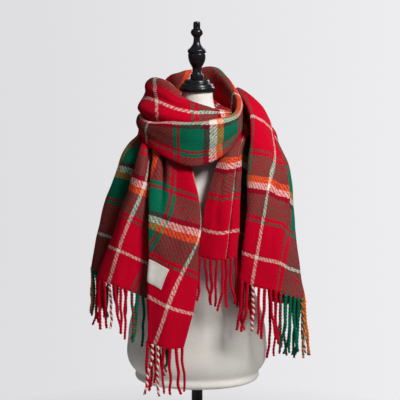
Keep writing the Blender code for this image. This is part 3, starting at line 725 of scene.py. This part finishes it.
# ---- materials -----------------------------------------------------------------------------
def tartan_material(settings):
    nodes, shader = principled("brushed tartan", WOOL)
    cloth = nodes.add("ShaderNodeUVMap", uv_map="cloth")
    fuzz = nodes.noise(cloth, 420.0, output="Color")
    u, v, _ = nodes.parts(nodes.vector("MULTIPLY_ADD", fuzz, (EDGE_FUZZ, EDGE_FUZZ, 0.0), cloth))
    middle = EDGE_FUZZ / 2
    weft_place = WEFT_TURN + middle - nodes.maths("MAXIMUM", v, HEM_BAND)
    warp, weft = (nodes.group("Tartan stripes", {"Place": place})["Color"]
                  for place in (u - middle, weft_place))
    reds = [nodes.add("ShaderNodeSeparateColor", {"Color": yarn}, "Red") for yarn in (warp, weft)]
    lead = nodes.span(reds[0] - reds[1], -0.55, 0.55, -0.13, 0.13)
    twill = nodes.group("Brushed twill", {
        "Cloth": cloth, "Rib pitch": settings.rib_pitch, "Warp lead": lead})
    on_top, nap = twill["Warp on top"], twill["Nap"]
    woven = nodes.mix(0.12, nodes.mix(on_top, weft, warp), nodes.mix(on_top, warp, weft))
    # Where warp and weft differ, the colour is pulled toward the darker of the two yarns by the nap
    # noise. This is partly stray fibres of the other yarn and partly painted shade in the hollows
    # of the weave.
    stray_fibres_and_painted_shade = nodes.mix(1.0, weft, warp, "DARKEN")
    woven = nodes.mix(nodes.span(nap, 0.35, 0.65, 0.10, 0.56), woven, stray_fibres_and_painted_shade)
    shade = nodes.span(nap, 0.3, 0.7, 0.76, 1.20)
    broad = nodes.span(nodes.noise(cloth, 14.0), 0.3, 0.7, 0.94, 1.04)
    tufts = nodes.span(nodes.noise(cloth, 230.0, 3.0, 0.6), 0.3, 0.7, 0.86, 1.13)
    nodes.feed(shader["Base Color"], nodes.scaled(woven, shade * broad * tufts))
    nodes.bump(shader, twill["Height"], 0.7, 0.0014)


def tassel_material():
    nodes, shader = principled("twisted wool", WOOL)
    u, ply = (nodes.add("ShaderNodeAttribute", output="Fac", attribute_name=name)
              for name in ("warp_place", "ply"))
    wool = nodes.group("Tartan stripes", {"Place": nodes.maths("MULTIPLY_ADD", ply, 0.0052, u)})
    fibres = nodes.noise(nodes.add("ShaderNodeTexCoord", output="Object"), 900.0, 3.0, 0.6)
    tone = nodes.span(fibres, 0.25, 0.75, 0.72, 1.12)
    nodes.feed(shader["Base Color"], nodes.scaled(wool["Color"], tone))
    nodes.bump(shader, fibres, 0.6, 0.0008)


def label_material():
    nodes, shader = principled("woven label", {"Roughness": 0.75, "Specular IOR Level": 0.3})
    cloth = nodes.add("ShaderNodeUVMap", uv_map="cloth")
    place = nodes.parts(cloth)
    across_yarn, along_yarn = (nodes.maths("SINE", way * LABEL_YARNS) for way in place[:2])
    tone = nodes.ramp(nodes.noise(cloth, 60.0, 3.0),
                      [(0.3, (0.80, 0.76, 0.68)), (0.7, (0.88, 0.85, 0.78))])
    sides = [(high - low) / 2 - abs(way - (low + high) / 2)
             for way, (low, high) in zip(place, (LABEL_U, LABEL_V))]
    line = nodes.maths("LESS_THAN", abs(nodes.maths("MINIMUM", *sides) - STITCH_INSET), STITCH_HALF)
    wave = nodes.maths("SINE", (place[0] - place[1]) * STITCH_WAVE)
    stitch = line * nodes.maths("GREATER_THAN", wave, -0.4)
    nodes.feed(shader["Base Color"], nodes.mix(stitch, tone, (0.46, 0.42, 0.36, 1.0)))
    nodes.bump(shader, across_yarn * along_yarn + stitch * 2.0, 0.3, 0.0003)


def form_material():
    nodes, shader = principled("stretched linen", {
        "Roughness": 0.85, "Sheen Weight": 0.1, "Specular IOR Level": 0.3})
    where = nodes.add("ShaderNodeTexCoord", output="Object")
    x, y, z = nodes.parts(where)
    round_yarn = nodes.maths("SINE", nodes.maths("ARCTAN2", y, x) * 620.0)
    up_yarn = nodes.maths("SINE", z * 5200.0)
    drawn = nodes.add("ShaderNodeMapping", {"Vector": where, "Scale": (1.0, 1.0, 9.0)})
    slub = nodes.noise(drawn, 90.0, 3.0)
    tone = nodes.ramp(slub, [(0.3, (0.80, 0.765, 0.70)), (0.7, (0.87, 0.84, 0.78))])
    nodes.feed(shader["Base Color"], tone)
    nodes.bump(shader, (round_yarn + up_yarn) * 0.25 + slub, 0.25, 0.0004)


def lacquer_material(name, roughness):
    nodes, shader = principled(name, {
        "Coat Weight": 0.25, "Coat Roughness": 0.22, "Specular IOR Level": 0.35})
    where = nodes.add("ShaderNodeTexCoord", output="Object")
    mottle = nodes.noise(where, 55.0, 4.0)
    tone = nodes.ramp(mottle, [(0.3, (0.005, 0.006, 0.008)), (0.75, (0.012, 0.012, 0.014))])
    nodes.feed(shader["Base Color"], tone)
    nodes.feed(shader["Roughness"], nodes.span(mottle, 0.3, 0.7, roughness, roughness + 0.12))
    nodes.bump(shader, nodes.noise(where, 90.0), 0.03, 0.0003)


# ---- fringe --------------------------------------------------------------------------------
def ring_sides(rings, sides, start=0):
    """Quads between neighbouring rings of points, outward where the rings climb."""
    return [(a + k, a + (k + 1) % sides, a + sides + (k + 1) % sides, a + sides + k)
            for a in range(start, start + (rings - 1) * sides, sides) for k in range(sides)]


def tassel_source(settings):
    """One two-ply twisted tassel hanging down from the origin, a unit long."""
    points, faces, drop, ply = [], [], [], []
    sides, steps = TASSEL_SIDES, settings.twist_steps
    for side in (-1.0, 1.0):
        start = len(points)
        for step in range(steps + 1):
            share = step / steps
            angle = share * settings.twists * 2 * math.pi + (math.pi if side > 0 else 0.0)
            thick = settings.ply_radius * (1.0 - TASSEL_TAPER * share)
            if step in (0, steps):
                thick *= TASSEL_END
            apart = settings.ply_radius * PLIES_APART * (1.0 - PLIES_CLOSE * share)
            centre = Vector((apart * math.cos(angle), apart * math.sin(angle), -share))
            for k in range(sides):
                turn = 2 * math.pi * k / sides
                points.append(
                    centre + Vector((thick * math.cos(turn), thick * math.sin(turn), 0.0)))
                drop.append(share)
                ply.append(side)
        faces += [(b, a, d, c) for a, b, c, d in ring_sides(steps + 1, sides, start)]
        faces.append(tuple(start + k for k in range(sides)))
        faces.append(tuple(start + steps * sides + k for k in range(sides - 1, -1, -1)))
    obj = mesh_object("tassel_pattern", points, faces)
    for name, values in (("drop", drop), ("ply", ply)):
        obj.data.attributes.new(name, "FLOAT", "POINT").data.foreach_set("value", values)
    return obj


def fringe_tree():
    """Hangs a twisted tassel from each point, bent by its own lean and curl."""
    nodes, given, result = group_tree(
        "Fringe",
        [("Geometry", "Geometry", None), ("Tassel", "Object", None), ("Length", "Float", 0.118),
         ("Curl", "Float", 0.010), ("Seed", "Int", 3), ("Wool", "Material", None)],
        [("Geometry", "Geometry")], "GeometryNodeTree")

    def named(name, kind="FLOAT"):
        node = nodes.node("GeometryNodeInputNamedAttribute", {"Name": name}, data_type=kind)
        return Wire(nodes, next(s for s in node.outputs if s.enabled and s.name == "Attribute"))

    tassel = nodes.add("GeometryNodeObjectInfo", {"Object": given["Tassel"]}, "Geometry")
    number, girth, drop = named("number"), named("girth"), named("drop")
    spin = nodes.add("ShaderNodeCombineXYZ", {"Z": number * 2.4})
    size = nodes.add("ShaderNodeCombineXYZ", {
        "X": girth, "Y": girth, "Z": named("reach") * given["Length"]})
    hung = nodes.add("GeometryNodeInstanceOnPoints", {
        "Points": given["Geometry"], "Instance": tassel, "Rotation": spin, "Scale": size})
    solid = nodes.add("GeometryNodeRealizeInstances", {"Geometry": hung})
    lean = nodes.scaled(named("lean", "FLOAT_VECTOR"), nodes.maths("POWER", drop, 1.5))
    along = nodes.add("ShaderNodeCombineXYZ", {"X": number * 3.7 + given["Seed"], "Y": drop * 1.4})
    field = nodes.noise(along, 1.0, 1.0, output="Color")
    amount = given["Curl"] * 4.0 * drop
    curl = nodes.vector("MULTIPLY", nodes.vector("SUBTRACT", field, (0.5, 0.5, 0.5)),
                        nodes.add("ShaderNodeCombineXYZ", {"X": amount, "Y": amount}))
    bent = nodes.add("GeometryNodeSetPosition", {
        "Geometry": solid, "Offset": nodes.vector("ADD", lean, curl)})
    nodes.feed(result["Geometry"], nodes.add("GeometryNodeSetMaterial", {
        "Geometry": bent, "Material": given["Wool"]}))
    return nodes.tree


def baked(obj, tree, inputs):
    """Runs a geometry node tree on obj and turns the result into obj's own plain mesh."""
    modifier = obj.modifiers.new(tree.name, "NODES")
    modifier.node_group = tree
    for socket in tree.interface.items_tree:
        if socket.in_out == "INPUT" and socket.name in inputs:
            modifier[socket.identifier] = inputs[socket.name]
    bpy.context.view_layer.update()
    graph = bpy.context.evaluated_depsgraph_get()
    mesh = bpy.data.meshes.new_from_object(
        obj.evaluated_get(graph), preserve_all_data_layers=True, depsgraph=graph)
    old = obj.data
    obj.modifiers.remove(modifier)
    obj.data = mesh
    bpy.data.meshes.remove(old)


def fringe_points(name, row, settings, seed, longer):
    """Points along a hem, evenly spaced, with each tassel's place, lean and size."""
    knots = along_line(row)
    count = settings.tassels
    number = np.arange(count)
    at = (number + 0.25) / (count - 0.5) * knots[-1]
    where = np.column_stack([np.interp(at, knots, row[:, k]) for k in range(4)])
    rng = np.random.default_rng(seed)
    obj = mesh_object(name, where[:, :3] + np.array([0.0, 0.0, ROOT_RISE]), [], smooth=False)
    lean = np.column_stack([0.006 * np.sin(number * 0.8 + 0.7) + rng.normal(0.0, 0.004, count),
                            0.004 * np.sin(number * 0.5) + rng.normal(0.0, 0.003, count),
                            np.zeros(count)])
    edge = np.interp(where[:, 3], OUTER_EDGE, (longer, longer, 1.0))
    values = {"warp_place": where[:, 3], "number": number + seed * 0.37,
              "reach": rng.uniform(0.92, 1.05, count) * edge,
              "girth": rng.uniform(0.9, 1.12, count)}
    for key, column in values.items():
        layer = obj.data.attributes.new(key, "FLOAT", "POINT")
        layer.data.foreach_set("value", column.astype(np.float32))
    layer = obj.data.attributes.new("lean", "FLOAT_VECTOR", "POINT")
    layer.data.foreach_set("vector", lean.astype(np.float32).ravel())
    return obj


# ---- turned and moulded pieces -------------------------------------------------------------
def softened(profile):
    """Profile with its corners cut again and again, ends kept."""
    line = profile
    for _ in range(ROUNDS):
        near = line[:-1] * 0.75 + line[1:] * 0.25
        far = line[:-1] * 0.25 + line[1:] * 0.75
        inner = np.stack([near, far], axis=1).reshape(-1, 2)[1:-1]
        line = np.vstack([line[:1], inner, line[-1:]])
    return line


def turned(name, profile, sides, foot=Vector((0.0, 0.0, 0.0)), tilt=0.0):
    """Solid of revolution about +Z at foot, leaning forward by tilt; both ends reach the axis."""
    angles = [2 * math.pi * k / sides for k in range(sides)]
    points = [(radius * math.cos(angle), radius * math.sin(angle), height)
              for height, radius in profile[1:-1] for angle in angles]
    rings = len(profile) - 2
    faces = ring_sides(rings, sides)
    bottom, top, last = len(points), len(points) + 1, (rings - 1) * sides
    points += [(0.0, 0.0, profile[0][0]), (0.0, 0.0, profile[-1][0])]
    for k in range(sides):
        n = (k + 1) % sides
        faces += [(bottom, n, k), (top, last + k, last + n)]
    cos, sin = math.cos(tilt), math.sin(tilt)
    placed = [foot + Vector((x, y * cos - z * sin, z * cos + y * sin)) for x, y, z in points]
    obj = mesh_object(name, placed, faces)
    obj.data.set_sharp_from_angle(angle=TURNED_CREASE)
    return obj


def torso_mesh(settings):
    """Smooth body and neck of the dress form."""
    spans = zip(FORM_HEIGHTS, FORM_HEIGHTS[1:], FORM_SPANS)
    heights = np.concatenate([np.linspace(*span, endpoint=False) for span in spans] + [[NECK_TOP]])
    shapes = curve_at(FORM_RINGS[:, 0], FORM_RINGS[:, 1:], heights)
    sides, rings = settings.form_sides, len(heights)
    angles = np.arange(sides) * 2 * math.pi / sides
    points = []
    for height, (wide, front, back, square) in zip(heights, shapes):
        lean = math.tan(CAP_TILT) * max(0.0, 1 - (NECK_TOP - height) / NECK_LEVEL)
        for angle in angles:
            c, s = math.cos(angle), math.sin(angle)
            depth = back if s > 0 else front
            x = (wide - settings.form_ease) * math.copysign(abs(c) ** (2 / square), c)
            y = (depth - settings.form_ease) * math.copysign(abs(s) ** (2 / square), s)
            points.append((x, y, height + y * lean))
    faces = [tuple(range(sides - 1, -1, -1)), *ring_sides(rings, sides),
             tuple(range((rings - 1) * sides, rings * sides))]
    obj = mesh_object("form_body", points, faces)
    obj.data.set_sharp_from_angle(angle=FORM_CREASE)
    return obj


def place_piece(obj, finish, slot, *nodes):
    """Gives a finished piece its material and the root body, and hides the parts it stands for; the
    slot is not used.
    """
    if finish:
        obj.data.materials.append(bpy.data.materials[finish])
    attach(obj, "root")
    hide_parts(*nodes)


# ---- settings ------------------------------------------------------------------------------
def number_setting(name, description, default, unit="NONE"):
    return bpy.props.FloatProperty(name=name, description=description, default=default, unit=unit)


def length_setting(name, description, default):
    return number_setting(name, description, default, "LENGTH")


def power_setting(name, description, default):
    return number_setting(name, description, default, "POWER")


def whole_setting(name, description, default):
    return bpy.props.IntProperty(name=name, description=description, default=default)


def colour_setting(name, description, default):
    return bpy.props.FloatVectorProperty(
        name=name, description=description, default=default, subtype="COLOR", size=3)


class ScarfClothSettings(bpy.types.PropertyGroup):
    thickness: length_setting("Thickness", "Thickness of the brushed wool", 0.0022)
    crease_depth: number_setting("Crease depth", "How deep the creases are, 1 as drawn", 1.0)
    rib_pitch: length_setting("Rib pitch", "Distance across four yarns of the twill", 0.0098)
    red: colour_setting("Red", "Red yarn", (0.61, 0.001, 0.021))
    green: colour_setting("Green", "Green yarn", (0.004, 0.155, 0.082))
    burgundy: colour_setting("Burgundy", "Burgundy yarn", (0.13, 0.010, 0.020))
    cream: colour_setting("Cream", "Cream yarn", (0.92, 0.81, 0.70))
    orange: colour_setting("Orange", "Orange yarn", (0.86, 0.20, 0.030))


class ScarfFringeSettings(bpy.types.PropertyGroup):
    tassels: whole_setting("Tassels", "Tassels along each hem", 42)
    length: length_setting("Length", "Length of a tassel", 0.118)
    ply_radius: length_setting("Ply radius", "Radius of one of the two twisted plies", 0.0030)
    twists: number_setting("Twists", "Turns of the plies along a tassel", 8.0)
    twist_steps: whole_setting("Twist steps", "Rings along a tassel", 56)
    curl: length_setting("Curl", "How far tassels curl at their tips", 0.011)


class ScarfFormSettings(bpy.types.PropertyGroup):
    form_sides: whole_setting("Sides", "Points round the form", 96)
    form_ease: length_setting("Ease", "How far the smooth form lies inside the solid", 0.0005)
    turned_sides: whole_setting("Turned sides", "Points round the turned pieces", 72)


class ScarfStageSettings(bpy.types.PropertyGroup):
    floor: colour_setting("Floor", "Colour of the floor", (0.86, 0.86, 0.87))
    key_power: power_setting("Key light", "Power of the main light", 110.0)
    fill_power: power_setting("Fill light", "Power of the fill light", 3.0)
    rear_power: power_setting("Rear light", "Power of the soft light behind", 30.0)
    floor_radius: length_setting("Floor radius", "How far the floor reaches before it fades", 1.9)
    # The wall's brightness runs from the left setting to the right one: painted shade on the left
    # and painted light on the right.
    wall_left_painted_shade: number_setting("Wall left", "Brightness of the pale surroundings on the left", 0.73)
    wall_right_painted_light: number_setting(
        "Wall right", "Brightness of the pale surroundings on the right", 0.87)
    world_strength: number_setting("Surroundings", "Strength of the light from all round", 0.09)


# ---- operators -----------------------------------------------------------------------------
class SCARF_OT_stage(bpy.types.Operator):
    """Set the pale floor, the soft light and the camera"""
    bl_idname = "scarf.stage"
    bl_label = "Stage"

    def execute(self, context):
        settings = context.scene.scarf_stage
        self.lay_floor(settings)
        self.light_room(context.scene, settings)
        context.scene.view_settings.view_transform = "Standard"
        lens = bpy.data.cameras.new("camera")
        lens.sensor_width = SENSOR
        lens.lens = FOCAL_PIXELS / FRAME_PIXELS * SENSOR
        camera = bpy.data.objects.new("camera", lens)
        camera.location = CAMERA_PLACE
        camera.rotation_euler = (math.radians(90) - CAMERA_DOWN, 0.0, 0.0)
        context.scene.collection.objects.link(camera)
        context.scene.camera = camera
        return {"FINISHED"}

    def lay_floor(self, settings):
        """A round pale floor that fades out."""
        nodes, shader = principled("pale floor", {"Roughness": 0.9, "Specular IOR Level": 0.1})
        where = nodes.add("ShaderNodeTexCoord", output="Object")
        tone = nodes.span(nodes.noise(where, 3.0), 0.3, 0.7, 0.98, 1.0)
        nodes.feed(shader["Base Color"], nodes.scaled(tuple(settings.floor), tone))
        away = nodes.add("ShaderNodeVectorMath", {0: where}, "Value", operation="LENGTH")
        nodes.feed(shader["Alpha"], nodes.span(away, 0.7, settings.floor_radius, 1.0, 0.0))
        angles = np.linspace(0.0, 2 * math.pi, FLOOR_SIDES, endpoint=False)
        points = [(settings.floor_radius * math.cos(a), settings.floor_radius * math.sin(a), 0.0)
                  for a in angles]
        floor = mesh_object("floor_disc", points, [tuple(range(FLOOR_SIDES))])
        floor.data.materials.append(bpy.data.materials["pale floor"])

    def light_room(self, scene, settings):
        """Three soft lights, and a world that is a pale wall where the camera sees it, darker on
        the left and lighter on the right as painted shade across the wall.
        """
        for name, place, aim, size in LIGHTS:
            lamp = bpy.data.lights.new(name + "_light", "AREA")
            lamp.shape = "SQUARE"
            lamp.size = size
            lamp.energy = getattr(settings, name + "_power")
            light = bpy.data.objects.new(name + "_light", lamp)
            light.location = place
            light.rotation_euler = (Vector(aim) - Vector(place)).to_track_quat("-Z", "Y").to_euler()
            scene.collection.objects.link(light)
        world = bpy.data.worlds.new("soft_room")
        world.use_nodes = True
        room = Nodes(world.node_tree)
        sky = world.node_tree.nodes["Background"]
        sky.inputs["Color"].default_value = (0.97, 0.98, 1.0, 1.0)
        sky.inputs["Strength"].default_value = settings.world_strength
        side = room.parts(room.add("ShaderNodeTexCoord", output="Generated"))[0]
        # Painted shade across the wall: darker on the left, lighter on the right.
        wall = room.add("ShaderNodeBackground", {
            "Color": (0.985, 0.98, 1.0, 1.0),
            "Strength": room.span(side, -0.3, 0.3, settings.wall_left_painted_shade, settings.wall_right_painted_light)})
        seen = room.add("ShaderNodeMixShader", {
            0: room.add("ShaderNodeLightPath", output="Is Camera Ray"),
            1: Wire(room, sky.outputs[0]), 2: wall})
        room.feed(world.node_tree.nodes["World Output"].inputs["Surface"], seen)
        scene.world = world


class SCARF_OT_materials(bpy.types.Operator):
    """Make the wool, label, form and lacquer finishes"""
    bl_idname = "scarf.materials"
    bl_label = "Finishes"

    def execute(self, context):
        settings = context.scene.scarf_cloth
        tartan_stripes_group({name: tuple(getattr(settings, name)) for name in COLOURS})
        twill_group()
        tartan_material(settings)
        tassel_material()
        label_material()
        form_material()
        lacquer_material("glossy lacquer", 0.22)
        lacquer_material("painted metal", 0.36)
        return {"FINISHED"}


class SCARF_OT_form(bpy.types.Operator):
    """Make the form's body, neck cap, finial, pole and base"""
    bl_idname = "scarf.form"
    bl_label = "Dress form"

    def execute(self, context):
        settings = context.scene.scarf_form
        sides = settings.turned_sides
        axis = Vector((0.0, -math.sin(CAP_TILT), math.cos(CAP_TILT)))
        neck = Vector((0.0, 0.0, NECK_TOP))
        foot = neck + axis * (CAP_PROFILE[-1][0] + 2 * SEAM_GAP)
        low, high = BASE_PROFILE[-1][0] + SEAM_GAP, FORM_HEIGHTS[0] - SEAM_GAP
        tube = ((low, 0.0), (low, POLE_RADIUS - POLE_EDGE), (low + POLE_EDGE, POLE_RADIUS),
                (high - POLE_EDGE, POLE_RADIUS), (high, POLE_RADIUS - POLE_EDGE), (high, 0.0))
        place_piece(torso_mesh(settings), "stretched linen", "form_linen", "torso")
        cap = turned("cap_turning", softened(CAP_PROFILE), sides, neck + axis * SEAM_GAP, CAP_TILT)
        finial = turned("finial_turning", softened(FINIAL_PROFILE), sides, foot, CAP_TILT)
        base = turned("base_turning", softened(BASE_PROFILE), BASE_SIDES)
        pole = turned("pole_tube", tube, POLE_SIDES)
        place_piece(cap, "glossy lacquer", "black_lacquer", "neck_cap")
        place_piece(finial, "glossy lacquer", "black_lacquer", "finial")
        place_piece(base, "painted metal", "black_metal", "base")
        place_piece(pole, "painted metal", "black_metal", "pole")
        return {"FINISHED"}


class SCARF_OT_cloth(bpy.types.Operator):
    """Make the whole strip of cloth, from hem to hem"""
    bl_idname = "scarf.cloth"
    bl_label = "Cloth"

    def execute(self, context):
        settings = context.scene.scarf_cloth
        half = settings.thickness / 2
        grid = cloth_grid(settings.crease_depth)
        cloth = cloth_shell("scarf_cloth", *grid, half, -half, half * 0.8)
        place_piece(cloth, "brushed tartan", "tartan_wool", *CLOTH_NODES)
        return {"FINISHED"}


class SCARF_OT_fringe(bpy.types.Operator):
    """Hang the twisted tassels from both hems"""
    bl_idname = "scarf.fringe"
    bl_label = "Fringe"

    def execute(self, context):
        settings = context.scene.scarf_fringe
        pattern = tassel_source(settings)
        tree = fringe_tree()
        places = fold_places()
        hems = (left_rows(LEFT_LEVELS[:1], places)[0], right_rows(RIGHT_LEVELS[-1:], places)[0])
        for hem, (name, node, seed, longer) in zip(hems, FRINGES):
            fringe = fringe_points(name, hem, settings, seed, longer)
            baked(fringe, tree, {
                "Tassel": pattern, "Length": settings.length, "Curl": settings.curl,
                "Seed": seed, "Wool": bpy.data.materials["twisted wool"]})
            place_piece(fringe, None, "fringe_wool", node)
        bpy.data.objects.remove(pattern)
        return {"FINISHED"}


class SCARF_OT_label(bpy.types.Operator):
    """Sew the bare label on the left end's front panel"""
    bl_idname = "scarf.label"
    bl_label = "Label"

    def execute(self, context):
        settings = context.scene.scarf_cloth
        rows = sum(LEFT_SPANS)
        first = int(np.searchsorted(fold_places(), 6.5))
        patch = [part[:rows, first:] for part in cloth_grid(settings.crease_depth)]
        u, v = np.meshgrid(np.linspace(*LABEL_U, LABEL_POINTS), np.linspace(*LABEL_V, LABEL_POINTS))
        sewn, out = on_cloth(patch, np.column_stack([u.ravel(), v.ravel()]))
        sewn = (sewn + out * (settings.thickness / 2 + LABEL_LIFT)).reshape(*u.shape, 3)
        label = cloth_shell("label_patch", sewn, u, v, LABEL_THICK, 0.0, LABEL_EDGE)
        place_piece(label, "woven label", "label_cotton", "label")
        return {"FINISHED"}


class SCARF_PT_panel(bpy.types.Panel):
    """Settings and steps of the scarf on its form"""
    bl_idname = "SCARF_PT_panel"
    bl_label = "Scarf"
    bl_space_type = "VIEW_3D"
    bl_region_type = "UI"
    bl_category = "Scarf"

    def draw(self, context):
        for name, _ in GROUPS:
            settings = getattr(context.scene, name)
            box = self.layout.box()
            for key in settings.__annotations__:
                box.prop(settings, key)
        for operator in OPERATORS:
            self.layout.operator(operator.bl_idname)


OPERATORS = (SCARF_OT_stage, SCARF_OT_materials, SCARF_OT_form, SCARF_OT_cloth, SCARF_OT_fringe,
             SCARF_OT_label)
GROUPS = (("scarf_cloth", ScarfClothSettings), ("scarf_fringe", ScarfFringeSettings),
          ("scarf_form", ScarfFormSettings), ("scarf_stage", ScarfStageSettings))


def register():
    for name, group in GROUPS:
        bpy.utils.register_class(group)
        setattr(bpy.types.Scene, name, bpy.props.PointerProperty(type=group))
    for shown in (*OPERATORS, SCARF_PT_panel):
        bpy.utils.register_class(shown)


def unregister():
    for shown in reversed((*OPERATORS, SCARF_PT_panel)):
        bpy.utils.unregister_class(shown)
    for name, group in reversed(GROUPS):
        delattr(bpy.types.Scene, name)
        bpy.utils.unregister_class(group)


def main():
    register()
    bpy.ops.scarf.stage()
    bpy.ops.scarf.materials()
    bpy.ops.scarf.form()
    bpy.ops.scarf.cloth()
    bpy.ops.scarf.fringe()
    bpy.ops.scarf.label()


if __name__ == "__main__":
    main()
